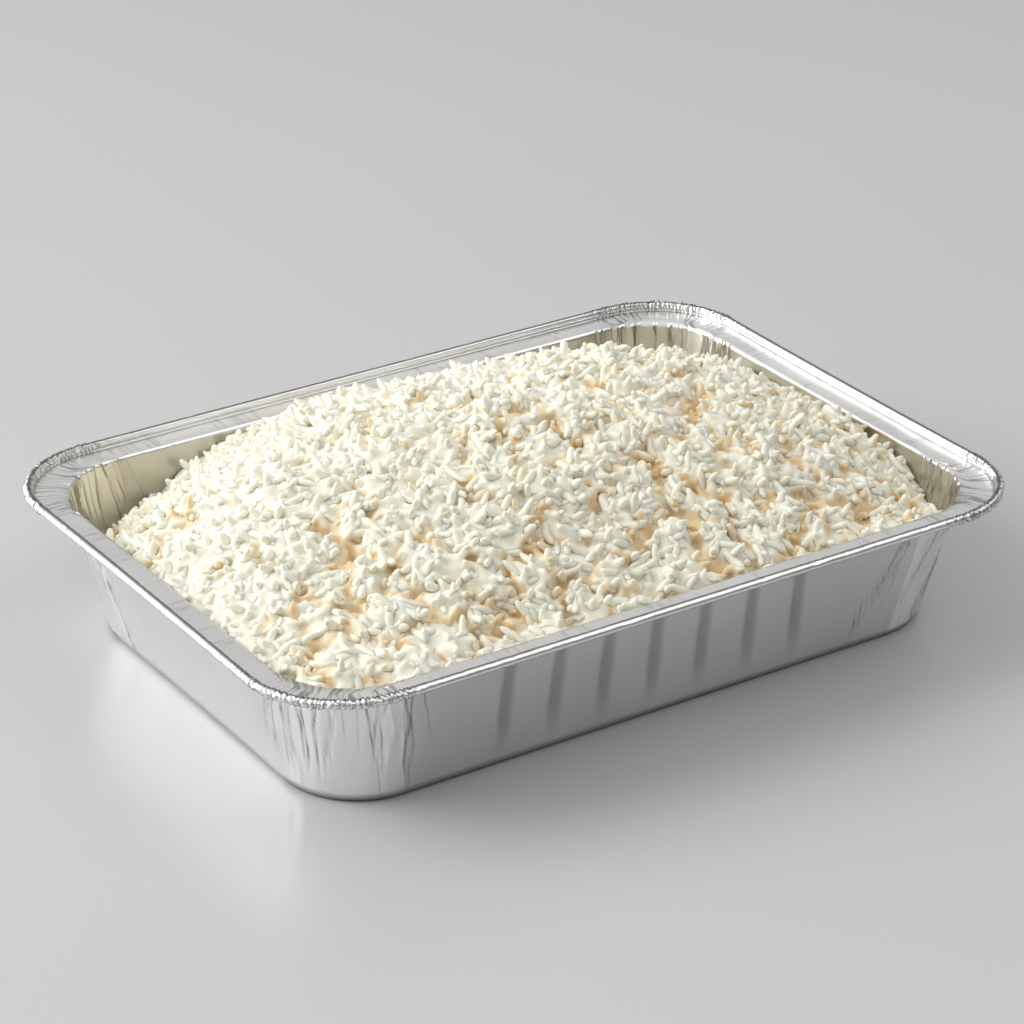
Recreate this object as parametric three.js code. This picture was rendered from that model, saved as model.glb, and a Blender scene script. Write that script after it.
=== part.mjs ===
// Foil tray meal: an oblong aluminium foil tray heaped with cooked long-grain rice.
// Millimetres, +Z up. The origin is the centre of the tray's flat underside, +X runs along
// the tray's length and +Y along its width.
import * as THREE from "three";

// Tray outlines: half lengths, half widths and corner radii of rounded rectangles.
const bead = { halfLength: 166.3, halfWidth: 122.1, cornerRadius: 39.4 };
const wallTop = { halfLength: 154.6, halfWidth: 110.4, cornerRadius: 35.4 };
const wallFoot = { halfLength: 144.2, halfWidth: 98.5, cornerRadius: 33.2 };

// Tray heights, and the foil, which is drawn thicker than real foil.
const flangeHeight = 55.4;
const footHeight = 1.6;
const footInset = 1.5;
const foilThickness = 0.5;

// The bead rolled round the flange's edge. Its section is an arc that starts low on the
// inner side, goes over the top and ends underneath.
const beadRadius = 1.7;
const beadHeight = 57.4;
const beadStart = THREE.MathUtils.degToRad(215);
const beadEnd = THREE.MathUtils.degToRad(-90);
const beadFacets = 7;
const beadStepTop = 2.5;
const beadStepUnder = 1.8;

// The short sides pinch in slightly between their corners.
const shortSidePinch = 1.2;

// Flutes: shallow upright waves in the middle of both long walls, four outline steps each.
const fluteCount = 7;
const fluteSteps = 4;
const fluteStart = 7;
const fluteDepth = 0.9;

// Steps round the outline. The long sides have plain ends before and after their flutes.
const longSideSteps = 44;
const shortSideSteps = 6;
const cornerSteps = 8;

// Heights of the wall's rings as shares of the flange's height.
const wallShares = [0.33, 0.67];

// Rice: a heap that fills the tray up to its flange and domes in the middle.
const riceGap = 0.5;
const riceEdgeDrop = 1.2;
const domeRise = 32;
const domeCentre = { x: 10, y: 8 };
const domeReach = { x: 152, y: 108 };
const domePower = { x: 2.6, y: 2.2, edge: 1.15 };

// Two crossing waves of lumps in the heap.
const broadLump = { height: 1.6, pitchX: 17, pitchY: 15, skew: 60, sway: 0.6, swayPitch: 23 };
const smallLump = { height: 1.2, pitchAlong: 11, pitchAcross: 19, phase: 1.3 };

// Places along the edge where the rice sinks below the flange or, with a negative drop,
// climbs against it. The spreads are how far each one reaches along X and Y.
const edgeDips = [
  { x: -152, y: 106, drop: 29, spreadX: 60, spreadY: 44 },
  { x: -30, y: 106, drop: -7, spreadX: 26, spreadY: 34 },
  { x: 30, y: 112, drop: 3, spreadX: 30, spreadY: 20 },
  { x: 150, y: 100, drop: 20, spreadX: 44, spreadY: 36 },
  { x: 152, y: 30, drop: 2, spreadX: 30, spreadY: 40 },
  { x: 154, y: -86, drop: 15, spreadX: 26, spreadY: 30 },
];

// Rings of the heap's top, as shares of the way from its middle to its edge.
const heapShares = [0.16, 0.32, 0.47, 0.61, 0.74, 0.85, 0.94];

// The heap's side, as shares of the way from its edge down to its foot.
const heapSideShares = [0.35, 0.7];

// A rounded rectangle moved inward by inset.
function inward(outline, inset) {
  return {
    halfLength: outline.halfLength - inset,
    halfWidth: outline.halfWidth - inset,
    cornerRadius: outline.cornerRadius - inset,
  };
}

// The rounded rectangle that lies a share of the way from one outline to another.
function between(low, high, share) {
  return {
    halfLength: THREE.MathUtils.lerp(low.halfLength, high.halfLength, share),
    halfWidth: THREE.MathUtils.lerp(low.halfWidth, high.halfWidth, share),
    cornerRadius: THREE.MathUtils.lerp(low.cornerRadius, high.cornerRadius, share),
  };
}

// The flutes' strength at each step of the outline: 0 on the short sides, corners and plain
// ends, 1 at the middle of a flute. It is positive on the +Y wall and negative on the other.
function fluteWaves() {
  const waves = [];
  for (const side of [-1, 1]) {
    for (let step = 0; step < longSideSteps; step += 1) {
      const along = step - fluteStart;
      const fluted = along > 0 && along < fluteCount * fluteSteps;
      const wave = 0.5 - 0.5 * Math.cos((2 * Math.PI * along) / fluteSteps);
      waves.push(fluted ? side * wave : 0);
    }
    for (let step = 0; step < shortSideSteps + 2 * cornerSteps; step += 1) {
      waves.push(0);
    }
  }
  return waves;
}

const waves = fluteWaves();

// Points round a rounded rectangle, anticlockwise from the start of its -Y side. Every
// outline has the same number of points, so neighbouring rings join point to point.
function outlinePoints({ halfLength, halfWidth, cornerRadius }) {
  const points = [];
  const straightX = halfLength - cornerRadius;
  const straightY = halfWidth - cornerRadius;
  const addSide = (from, to, steps) => {
    for (let step = 0; step < steps; step += 1) {
      points.push(new THREE.Vector2().lerpVectors(from, to, step / steps));
    }
  };
  const addCorner = (centreX, centreY, startAngle) => {
    for (let step = 0; step < cornerSteps; step += 1) {
      const angle = startAngle + (step / cornerSteps) * (Math.PI / 2);
      const x = centreX + cornerRadius * Math.cos(angle);
      const y = centreY + cornerRadius * Math.sin(angle);
      points.push(new THREE.Vector2(x, y));
    }
  };
  const at = (x, y) => new THREE.Vector2(x, y);
  addSide(at(-straightX, -halfWidth), at(straightX, -halfWidth), longSideSteps);
  addCorner(straightX, -straightY, -Math.PI / 2);
  addSide(at(halfLength, -straightY), at(halfLength, straightY), shortSideSteps);
  addCorner(straightX, straightY, 0);
  addSide(at(straightX, halfWidth), at(-straightX, halfWidth), longSideSteps);
  addCorner(-straightX, straightY, Math.PI / 2);
  addSide(at(-halfLength, straightY), at(-halfLength, -straightY), shortSideSteps);
  addCorner(-straightX, -straightY, Math.PI);
  return points;
}

// A ring of points in space at one height. The flutes are strongest halfway up the wall and
// end at its foot and at the flange, and the short sides are pinched at every height.
function ringAt(outline, height) {
  const up = THREE.MathUtils.clamp(height / flangeHeight, 0, 1);
  const fluting = fluteDepth * Math.sin(Math.PI * up);
  return outlinePoints(outline).map((point, i) => {
    const across = (point.y / outline.halfWidth) ** 2;
    const pinch = shortSidePinch * (1 - across) * (point.x / outline.halfLength);
    return new THREE.Vector3(point.x - pinch, point.y - fluting * waves[i], height);
  });
}

// A ring round the tray's wall, moved inward from its outer face.
function wallRing(height, inset) {
  const share = (height - footHeight) / (flangeHeight - footHeight);
  return ringAt(inward(between(wallFoot, wallTop, share), inset), height);
}

// Joins rings into one closed body: a fan over the first ring, bands between neighbours and
// a fan over the last ring. The faces point outward when the rings go from the top's middle
// outward, down and under to the bottom's middle.
function closedBody(topCentre, rings, bottomCentre) {
  const ringSize = rings[0].length;
  const points = [...rings.flat(), topCentre, bottomCentre];
  const top = rings.length * ringSize;
  const bottom = top + 1;
  const lastRing = top - ringSize;
  const indices = [];
  for (let i = 0; i < ringSize; i += 1) {
    const next = (i + 1) % ringSize;
    indices.push(top, i, next);
    for (let start = 0; start < lastRing; start += ringSize) {
      const below = start + ringSize;
      indices.push(start + i, below + i, below + next);
      indices.push(start + i, below + next, start + next);
    }
    indices.push(bottom, lastRing + next, lastRing + i);
  }
  const geometry = new THREE.BufferGeometry().setFromPoints(points);
  geometry.setIndex(indices);
  geometry.computeVertexNormals();
  return geometry;
}

function namedMesh(name, geometry, color, roughness, metalness) {
  const material = new THREE.MeshStandardMaterial({ color, roughness, metalness });
  const mesh = new THREE.Mesh(geometry, material);
  mesh.name = name;
  return mesh;
}

// The bead's rings, from the flange's top over the outside to the flange's underside.
function beadRings() {
  const rings = [];
  for (let facet = 0; facet <= beadFacets; facet += 1) {
    const angle = THREE.MathUtils.lerp(beadStart, beadEnd, facet / beadFacets);
    const outward = beadRadius * Math.cos(angle);
    rings.push(ringAt(inward(bead, -outward), beadHeight + beadRadius * Math.sin(angle)));
  }
  return rings;
}

// The tray is one sheet of foil with an inner and an outer face, closed through the bead.
function makeTray() {
  const wallHeights = wallShares.map((share) => share * flangeHeight);
  const flangeUnder = flangeHeight - foilThickness;
  const rings = [
    ringAt(inward(wallFoot, footInset + foilThickness), foilThickness),
    wallRing(footHeight + foilThickness, foilThickness),
    ...wallHeights.map((height) => wallRing(height, foilThickness)),
    wallRing(flangeHeight, foilThickness),
    ringAt(inward(bead, beadStepTop), flangeHeight),
    ...beadRings(),
    ringAt(inward(bead, beadStepUnder), flangeUnder),
    wallRing(flangeUnder, 0),
    ...wallHeights.toReversed().map((height) => wallRing(height, 0)),
    wallRing(footHeight, 0),
    ringAt(inward(wallFoot, footInset), 0),
  ];
  const floor = new THREE.Vector3(0, 0, foilThickness);
  const underside = new THREE.Vector3(0, 0, 0);
  return namedMesh("foil_tray", closedBody(floor, rings, underside), 0xc9cacb, 0.3, 1);
}

// The dome alone: 1 at its crown, falling to 0 at the walls.
function domeShape(x, y) {
  const crownX = domeCentre.x * (1 - (x / domeReach.x) ** 2);
  const crownY = domeCentre.y * (1 - (y / domeReach.y) ** 2);
  const u = Math.min(1, Math.abs(x - crownX) / domeReach.x);
  const v = Math.min(1, Math.abs(y - crownY) / domeReach.y);
  return (1 - u ** domePower.x) * (1 - v ** domePower.y) ** domePower.edge;
}

function lumpHeight(x, y) {
  const sway = broadLump.sway * Math.sin(y / broadLump.swayPitch);
  const broadX = Math.sin(x / broadLump.pitchX + sway);
  const broadY = Math.cos(y / broadLump.pitchY + x / broadLump.skew);
  const smallX = Math.sin((x + y) / smallLump.pitchAlong + smallLump.phase);
  const smallY = Math.cos((x - y) / smallLump.pitchAcross);
  return broadLump.height * broadX * broadY + smallLump.height * smallX * smallY;
}

function heapHeight(x, y) {
  let height = flangeHeight - riceEdgeDrop + domeRise * domeShape(x, y) + lumpHeight(x, y);
  for (const dip of edgeDips) {
    const away = ((x - dip.x) / dip.spreadX) ** 2 + ((y - dip.y) / dip.spreadY) ** 2;
    height -= dip.drop * Math.exp(-away);
  }
  return height;
}

// The heap's side at a share of the way down from its edge. It lies against the wall, and
// its edge stays below the flange.
function heapSideRing(share) {
  const inset = foilThickness + riceGap;
  const edgeLimit = flangeHeight - riceEdgeDrop;
  const foot = footHeight + foilThickness + riceGap;
  return wallRing(edgeLimit, inset).map((point, i) => {
    const edge = Math.min(heapHeight(point.x, point.y), edgeLimit);
    return wallRing(THREE.MathUtils.lerp(edge, foot, share), inset)[i];
  });
}

// The heap's top, as an uneven ring a share of the way out from its middle.
function heapTopRing(share) {
  return heapSideRing(0).map((edge) => {
    const x = edge.x * share;
    const y = edge.y * share;
    return new THREE.Vector3(x, y, heapHeight(x, y));
  });
}

function makeRice() {
  const floor = foilThickness + riceGap;
  const rings = [
    ...heapShares.map(heapTopRing),
    heapSideRing(0),
    ...heapSideShares.map(heapSideRing),
    heapSideRing(1),
    ringAt(inward(wallFoot, footInset + floor), floor),
  ];
  const crown = new THREE.Vector3(0, 0, heapHeight(0, 0));
  const underside = new THREE.Vector3(0, 0, floor);
  return namedMesh("rice", closedBody(crown, rings, underside), 0xebece1, 0.6, 0);
}

const group = new THREE.Group();
group.add(makeTray(), makeRice());

export default group;
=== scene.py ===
# Foil tray meal: a pressed aluminium foil tray heaped with cooked long-grain rice.
import bpy
import bmesh
import math
import numpy as np
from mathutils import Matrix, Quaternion, Vector
from mathutils.bvhtree import BVHTree


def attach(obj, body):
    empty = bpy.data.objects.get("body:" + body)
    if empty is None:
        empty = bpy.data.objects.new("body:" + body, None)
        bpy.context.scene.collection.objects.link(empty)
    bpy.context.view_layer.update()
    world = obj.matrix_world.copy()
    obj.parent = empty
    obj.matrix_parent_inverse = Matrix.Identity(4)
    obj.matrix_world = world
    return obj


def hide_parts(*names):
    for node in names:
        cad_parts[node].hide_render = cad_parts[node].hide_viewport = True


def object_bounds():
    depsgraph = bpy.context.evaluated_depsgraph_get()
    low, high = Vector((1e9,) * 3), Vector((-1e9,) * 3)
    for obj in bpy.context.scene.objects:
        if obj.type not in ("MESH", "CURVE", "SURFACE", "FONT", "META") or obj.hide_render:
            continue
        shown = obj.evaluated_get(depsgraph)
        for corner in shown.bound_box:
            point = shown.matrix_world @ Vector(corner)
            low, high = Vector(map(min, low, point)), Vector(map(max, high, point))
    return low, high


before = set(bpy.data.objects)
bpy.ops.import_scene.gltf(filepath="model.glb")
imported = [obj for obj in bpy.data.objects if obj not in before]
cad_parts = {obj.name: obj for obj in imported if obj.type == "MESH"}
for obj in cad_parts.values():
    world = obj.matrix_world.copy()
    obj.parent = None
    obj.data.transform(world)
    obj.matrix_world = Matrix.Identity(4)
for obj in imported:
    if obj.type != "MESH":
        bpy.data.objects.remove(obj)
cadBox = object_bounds()
mm = 0.001
scene = bpy.context.scene


def lerp(a, b, t):
    return a + (b - a) * t


def smooth(low, high, value):
    t = np.clip((value - low) / (high - low), 0.0, 1.0)
    return t * t * (3.0 - 2.0 * t)


def valueNoise(x, y, pitch, seed):
    # seeded noise, -1 to 1, on a square lattice and smooth between its points
    table = np.random.default_rng(seed).uniform(-1.0, 1.0, (256, 256))
    u = x / pitch + 1000.0
    v = y / pitch + 1000.0
    i = np.floor(u).astype(int)
    j = np.floor(v).astype(int)
    s = smooth(0.0, 1.0, u - i)
    t = smooth(0.0, 1.0, v - j)
    a = table[i % 256, j % 256]
    b = table[(i + 1) % 256, j % 256]
    c = table[i % 256, (j + 1) % 256]
    d = table[(i + 1) % 256, (j + 1) % 256]
    return lerp(lerp(a, b, s), lerp(c, d, s), t)


def addAttribute(mesh, name, values):
    layer = mesh.attributes.new(name, "FLOAT", "POINT")
    layer.data.foreach_set("value", np.asarray(values, dtype=np.float32))


def makeObject(name, vertices, faces):
    mesh = bpy.data.meshes.new(name)
    mesh.from_pydata([tuple(v) for v in vertices], [], [tuple(f) for f in faces])
    mesh.update()
    mesh.shade_smooth()
    piece = bpy.data.objects.new(name, mesh)
    scene.collection.objects.link(piece)
    return piece


def ringFaces(ringCount, ringSize):
    # quads between neighbouring closed rings
    ring = np.arange(ringSize)
    after = (ring + 1) % ringSize
    rows = np.arange(ringCount - 1)[:, None] * ringSize
    quads = np.stack([rows + ring, rows + ringSize + ring, rows + ringSize + after,
                      rows + after], axis=-1)
    return quads.reshape(-1, 4).tolist()


def readPoints(mesh):
    points = np.empty(len(mesh.vertices) * 3)
    mesh.vertices.foreach_get("co", points)
    return points.reshape(-1, 3)


def countTriangles(mesh):
    return sum(len(p.vertices) - 2 for p in mesh.polygons)


def fillInputs(tree, node, inputs):
    # a socket is linked, and any other value is set
    for key, value in inputs.items():
        if isinstance(value, bpy.types.NodeSocket):
            tree.links.new(value, node.inputs[key])
        else:
            node.inputs[key].default_value = value


def addNode(tree, kind, inputs=None, **settings):
    made = tree.nodes.new(kind)
    for key, value in settings.items():
        setattr(made, key, value)
    fillInputs(tree, made, inputs or {})
    return made


def storedValue(tree, name):
    # an attribute of the mesh, read in a material
    return addNode(tree, "ShaderNodeAttribute", attribute_name=name).outputs["Fac"]


def mathNode(tree, operation, a, b):
    return addNode(tree, "ShaderNodeMath", {0: a, 1: b}, operation=operation).outputs[0]


def scaleNode(tree, vector, amount):
    return addNode(tree, "ShaderNodeVectorMath", {0: vector, "Scale": amount},
                   operation="SCALE").outputs[0]


def noiseNode(tree, place, scale, detail):
    return addNode(tree, "ShaderNodeTexNoise", {"Vector": place, "Scale": scale,
                                                "Detail": detail}).outputs[0]


def rangeNode(tree, value, low, high, start, end):
    # from low to high, the value goes from start to end
    return addNode(tree, "ShaderNodeMapRange", {0: value, 1: low, 2: high, 3: start,
                                                4: end}).outputs[0]


def treeTools(tree):
    # short ways to add a sum and to read an attribute in a geometry tree
    def calc(operation, a, b):
        return mathNode(tree, operation, a, b)

    def named(name):
        return addNode(tree, "GeometryNodeInputNamedAttribute", {"Name": name},
                       data_type="FLOAT").outputs[0]

    return calc, named


def newMaterial(name):
    material = bpy.data.materials.new(name)
    material.use_nodes = True
    tree = material.node_tree
    tree.nodes.clear()
    shader = tree.nodes.new("ShaderNodeBsdfPrincipled")
    output = tree.nodes.new("ShaderNodeOutputMaterial")
    tree.links.new(shader.outputs[0], output.inputs[0])
    return material, tree, shader


def newGeometryTree(name, sizes):
    # a tree with a geometry socket in and out, and a named input for each size
    tree = bpy.data.node_groups.new(name, "GeometryNodeTree")
    tree.interface.new_socket("Geometry", in_out="INPUT", socket_type="NodeSocketGeometry")
    for key, value in sizes.items():
        kind = "NodeSocketInt" if isinstance(value, int) else "NodeSocketFloat"
        socket = tree.interface.new_socket(key, in_out="INPUT", socket_type=kind)
        socket.default_value = value
    tree.interface.new_socket("Geometry", in_out="OUTPUT", socket_type="NodeSocketGeometry")
    start = tree.nodes.new("NodeGroupInput")
    end = tree.nodes.new("NodeGroupOutput")
    return tree, start.outputs, end.inputs


def runGeometryTree(piece, tree, sizes):
    # sets the inputs by identifier, and keeps the result as a plain mesh
    modifier = piece.modifiers.new(tree.name, "NODES")
    modifier.node_group = tree
    for item in tree.interface.items_tree:
        if item.in_out == "INPUT" and item.name in sizes:
            modifier[item.identifier] = sizes[item.name]
    keepResult(piece)


def keepResult(piece):
    # the modifiers' result becomes the piece's own mesh
    depsgraph = bpy.context.evaluated_depsgraph_get()
    mesh = bpy.data.meshes.new_from_object(piece.evaluated_get(depsgraph))
    piece.modifiers.clear()
    oldMesh = piece.data
    piece.data = mesh
    bpy.data.meshes.remove(oldMesh)
    mesh.name = piece.name


# camera, light and floor

view = {
    "azimuth": -32.87,
    "elevation": 26.21,
    "roll": -0.29,
    "distance": 1.5005,
    "target": (0.0302, 0.0480, 0.0166),
    "lens": 128.15,
}

lights = {
    "key": {"at": (-1.5, 0.85, 1.4), "size": (1.3, 1.3), "power": 28.5,
            "color": (1.0, 0.99, 0.975)},
    "fill": {"at": (-1.0, -1.7, 1.5), "size": (1.6, 1.2), "power": 4.5, "color": (1.0, 0.99, 0.98)},
    "top": {"at": (0.95, -0.75, 1.65), "size": (1.2, 1.2), "power": 5.6, "color": (1.0, 1.0, 1.0)},
    "low": {"at": (-2.0, 1.5, 0.5), "size": (1.6, 0.8), "power": 20.0, "color": (1.0, 1.0, 1.0)},
}

lightTarget = (0.0, 0.0, 0.04)

room = {"floorColor": (0.56, 0.56, 0.565), "floorRough": 0.27, "floorHalf": 9.0,
        "wallGlow": 0.54, "ceilingGlow": 0.70, "front": 0.25}


def makeCamera():
    azimuth = math.radians(view["azimuth"])
    elevation = math.radians(view["elevation"])
    back = Vector((math.sin(azimuth) * math.cos(elevation),
                   -math.cos(azimuth) * math.cos(elevation), math.sin(elevation)))
    data = bpy.data.cameras.new("camera")
    data.lens = view["lens"]
    data.sensor_width = 36.0
    data.clip_start = 0.05
    data.clip_end = 60.0
    camera = bpy.data.objects.new("camera", data)
    camera.location = Vector(view["target"]) + back * view["distance"]
    camera.rotation_mode = "QUATERNION"
    roll = Quaternion(back, math.radians(view["roll"]))
    camera.rotation_quaternion = roll @ back.to_track_quat("Z", "Y")
    scene.collection.objects.link(camera)
    scene.camera = camera


def makeLights():
    for name, light in lights.items():
        data = bpy.data.lights.new(name, "AREA")
        data.shape = "RECTANGLE"
        data.size, data.size_y = light["size"]
        data.energy = light["power"]
        data.color = light["color"]
        lamp = bpy.data.objects.new(name, data)
        lamp.location = light["at"]
        aim = Vector(lightTarget) - lamp.location
        lamp.rotation_euler = aim.to_track_quat("-Z", "Y").to_euler()
        scene.collection.objects.link(lamp)


def makeRoom():
    # a grey wall all round under a bright ceiling, and darker low down in front
    world = bpy.data.worlds.new("studio")
    world.use_nodes = True
    scene.world = world
    tree = world.node_tree
    tree.nodes.clear()
    place = addNode(tree, "ShaderNodeTexCoord")
    split = addNode(tree, "ShaderNodeSeparateXYZ", {0: place.outputs["Generated"]})
    up = rangeNode(tree, split.outputs["Z"], 0.40, 0.85, room["wallGlow"], room["ceilingGlow"])
    forward = rangeNode(tree, split.outputs["Y"], -0.8, 0.1, room["front"], 1.0)
    high = rangeNode(tree, split.outputs["Z"], 0.50, 0.80, 0.0, 1.0)
    clear = mathNode(tree, "MAXIMUM", forward, high)
    glow = addNode(tree, "ShaderNodeBackground", {
        "Color": (1.0, 0.995, 0.985, 1.0), "Strength": mathNode(tree, "MULTIPLY", up, clear)})
    addNode(tree, "ShaderNodeOutputWorld", {0: glow.outputs[0]})

    half = room["floorHalf"]
    low = cadBox[0][2] - 0.0002
    floor = makeObject("floor", [(-half, -half, low), (half, -half, low), (half, half, low),
                                 (-half, half, low)], [(0, 1, 2, 3)])
    material, tree, shader = newMaterial("paleFloor")
    place = addNode(tree, "ShaderNodeTexCoord").outputs["Object"]
    tone = rangeNode(tree, noiseNode(tree, place, 2.2, 3.0), 0.0, 1.0, 0.97, 1.03)
    fillInputs(tree, shader, {"Base Color": scaleNode(tree, room["floorColor"], tone),
                              "Roughness": room["floorRough"]})
    floor.data.materials.append(material)
    scene.view_settings.view_transform = "Standard"


# the foil tray, in millimetres until its mesh is made

tray = {
    "bead": (166.3, 122.1, 39.4),       # half length, half width and corner radius
    "fold": (154.2, 110.0, 35.2),       # the sharp inner edge of the flange
    "foot": (144.2, 98.5, 33.2),        # the outside of the wall's foot
    "flangeHeight": 55.4,
    "footHeight": 1.8,
    "foil": 0.35,
    "beadHeight": 57.4,
    "beadRadius": 1.7,
    "beadSquare": 3.0,                  # how square the roll is inside, and how slanted outside
    "beadSlope": 1.55,
    "pinch": 1.2,                       # how far the ends are drawn in at their middle
    "fluteCount": 7,
    "flutePitch": 21.7,
    "fluteMiddle": -6.3,
    "fluteWidth": 2.7,
    "fluteDepth": 0.85,
    "fluteLean": 3.2,                   # how far a flute's foot lies to one side of its top
    "fluteFan": 0.035,                  # and how much more for each millimetre along the wall
    "creases": 44,                      # pleats at each corner
    "creaseSlants": (-0.4, 0.0, 0.1, 0.0),
    "creaseShade": 0.62,                  # how much painted shade darkens the pleats, flutes and stretch marks
    "fluteShade": 0.33,
    "stretchShade": 0.6,
    "wave": (0.16, 26.0),               # depth and pitch of the wall's broad waves
    "ripple": (0.10, 9.0),
    "innerHeights": (4.0, 16.0, 26.0, 33.0, 38.0, 41.0, 44.0, 46.5, 49.0, 51.5, 53.6),
    "outerHeights": (4.0, 8.0, 12.0, 16.0, 20.0, 23.5, 27.0, 30.0, 33.0, 36.0, 38.5, 41.0,
                     43.5, 46.0, 48.0, 50.0, 52.0, 53.6),
    "flangeInsets": (11.2, 9.8, 8.4, 7.0, 5.6, 4.2, 3.2),
    "floorInset": 60.0,                 # the rings end here, and one point closes each face
    "longSteps": 270,
    "shortSteps": 170,
    "cornerSteps": 155,
    "endCrowding": 0.5,                 # how much closer the steps lie toward the corners
}

crimp = {"ridgePitch": 1.9 * mm, "ridgeHeight": 0.32 * mm, "ridgeSlant": 0.6, "ridgeShade": 0.6,
         "patchSize": 170.0, "driftSize": 240.0, "drift": 20.0,
         "nickSize": 420.0, "nickDepth": 0.22 * mm}

# the inside colour is a painted shade with a painted reflection of the rice, darker and warmer
foilFinish = {"roughness": (0.285, 0.35), "tone": (0.89, 0.96), "insideShade": (0.73, 0.70, 0.615, 1.0),
              "bumpDepth": 0.06 * mm}

beadAngles = np.linspace(math.radians(232.0), math.radians(-100.0), 15)


def outlineTable():
    # for every step round the tray: which straight or corner it is on, and how far along
    sides = []
    for side, steps in ((0, tray["longSteps"]), (1, tray["shortSteps"]),
                        (2, tray["longSteps"]), (3, tray["shortSteps"])):
        for step in range(steps):
            sides.append((side, 0, step / steps))
        for step in range(tray["cornerSteps"]):
            sides.append((side, 1, step / tray["cornerSteps"]))
    return np.array(sides)


table = outlineTable()
sideOf = table[:, 0].astype(int)
onCorner = table[:, 1] > 0.5
onLong = (sideOf % 2 == 0) & ~onCorner
onEnd = (sideOf % 2 == 1) & ~onCorner
alongSide = table[:, 2]


def outline(size):
    # points and outward directions round a rounded rectangle, from its -Y side, anticlockwise
    halfLength, halfWidth, radius = size
    sx = halfLength - radius
    sy = halfWidth - radius
    starts = np.array([(-sx, -halfWidth), (halfLength, -sy), (sx, halfWidth), (-halfLength, sy)])
    ends = np.array([(sx, -halfWidth), (halfLength, sy), (-sx, halfWidth), (-halfLength, -sy)])
    centres = np.array([(sx, -sy), (sx, sy), (-sx, sy), (-sx, -sy)])
    ease = np.sin(2 * math.pi * alongSide) / (2 * math.pi)
    crowded = alongSide - tray["endCrowding"] * ease
    straight = starts[sideOf] + (ends - starts)[sideOf] * crowded[:, None]
    turn = (sideOf - 1 + np.where(onCorner, alongSide, 0.0)) * (math.pi / 2)
    outward = np.stack([np.cos(turn), np.sin(turn)], 1)
    corner = centres[sideOf] + radius * outward
    points = np.where(onCorner[:, None], corner, straight)
    across = (points[:, 1] / halfWidth) ** 2
    points[:, 0] -= tray["pinch"] * (1 - across) * points[:, 0] / halfLength
    return points, outward


beadPoints = outline(tray["bead"])[0]
stepLength = np.linalg.norm(np.roll(beadPoints, -1, 0) - beadPoints, axis=1)
around = np.concatenate([[0.0], np.cumsum(stepLength)[:-1]])
perimeter = stepLength.sum()


def cornerPlaces():
    # where the middle of each corner lies along the rim
    middle = tray["cornerSteps"] // 2
    places = []
    start = 0
    for steps in (tray["longSteps"], tray["shortSteps"]) * 2:
        start += steps
        places.append(around[start + middle])
        start += tray["cornerSteps"]
    return places


corners = cornerPlaces()


def rimDistance(place):
    # signed distance along the rim from a place, the short way round
    return (around - place + perimeter / 2) % perimeter - perimeter / 2


cornerNear = np.min([np.abs(rimDistance(place)) for place in corners], axis=0)
cornerShare = 1.0 - smooth(30.0, 46.0, cornerNear)


def makeCreases():
    # upright pleats that gather at the corners, each one leaning and fading its own way
    random = np.random.default_rng(7)
    creases = []
    for place, slant in zip(corners, tray["creaseSlants"]):
        for _ in range(tray["creases"]):
            creases.append({
                "place": place + random.uniform(-42.0, 42.0),
                "lean": random.normal(slant, 0.11),
                "wave": random.uniform(0.5, 1.5),
                "phase": random.uniform(0.0, 6.3),
                "low": random.choice([-8.0, 6.0, 20.0, 32.0]) + random.uniform(0.0, 10.0),
                "width": random.uniform(0.8, 2.4),
                "depth": random.uniform(0.3, 0.9) * random.choice([-1.0, 1.0, 1.0]),
                # how strong the painted shade line along this pleat is
                "paintedDark": random.choice([0.15, 0.4, 1.0]),
            })
    return creases


creases = makeCreases()


def fluteShare(height):
    # how far each place lies in a flute of the long walls, 0 to 1
    up = min(max(height / tray["flangeHeight"], 0.0), 1.0)
    bead, fold, foot = (tray[key][0] - tray[key][2] for key in ("bead", "fold", "foot"))
    x = beadPoints[:, 0] * lerp(foot, fold, up) / bead
    total = np.zeros(len(around))
    for flute in range(tray["fluteCount"]):
        middle = (flute - (tray["fluteCount"] - 1) / 2) * tray["flutePitch"]
        middle += tray["fluteMiddle"]
        middle += (tray["fluteLean"] + tray["fluteFan"] * middle) * (1.0 - up)
        line = (x - middle) / tray["fluteWidth"]
        total += np.where(onLong, np.exp(-line ** 4), 0.0)
    return total * float(smooth(0.02, 0.42, up))


def creaseLines(height):
    # the shift of every pleat at a height, and the painted shade line along each fold
    shift = np.zeros(len(around))
    dark = np.zeros(len(around))
    for crease in creases:
        sway = crease["wave"] * (math.sin(height / 5.5 + crease["phase"])
                                 + 0.3 * math.sin(height / 2.2 + 3.0 * crease["phase"]))
        line = rimDistance(crease["place"]) - crease["lean"] * (55.0 - height) - sway
        fade = float(smooth(crease["low"], crease["low"] + 12.0, height))
        # a sharp fold on one side that eases off on the other
        behind = np.exp(-np.maximum(line, 0.0) / crease["width"])
        shift += crease["depth"] * fade * behind * smooth(-0.45, 0.25, line)
        # the painted shade line along the sharp side of the fold, patchy up the wall
        patchy = 0.55 + 0.45 * math.sin(height / 2.6 + 5.0 * crease["phase"])
        dark += crease["paintedDark"] * fade * patchy * np.exp(-((line + 0.1) / 0.36) ** 2)
    return 1.1 * np.tanh(shift / 1.1), np.clip(dark, 0.0, 1.0)


def stretchMarks(inset):
    # fine folds across the flange, sharp round the corners and faint elsewhere
    ridge = valueNoise(around, around * 0.0 + inset * 0.06, 1.5, 11)
    gate = valueNoise(around, around * 0.0, 6.0, 13) + 0.45 * cornerShare
    lines = np.exp(-(ridge / 0.16) ** 2) * smooth(-0.2, 0.5, gate)
    reach = float(smooth(0.5, 3.0, inset))
    return lines * (0.38 + 0.62 * cornerShare) * reach


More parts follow.
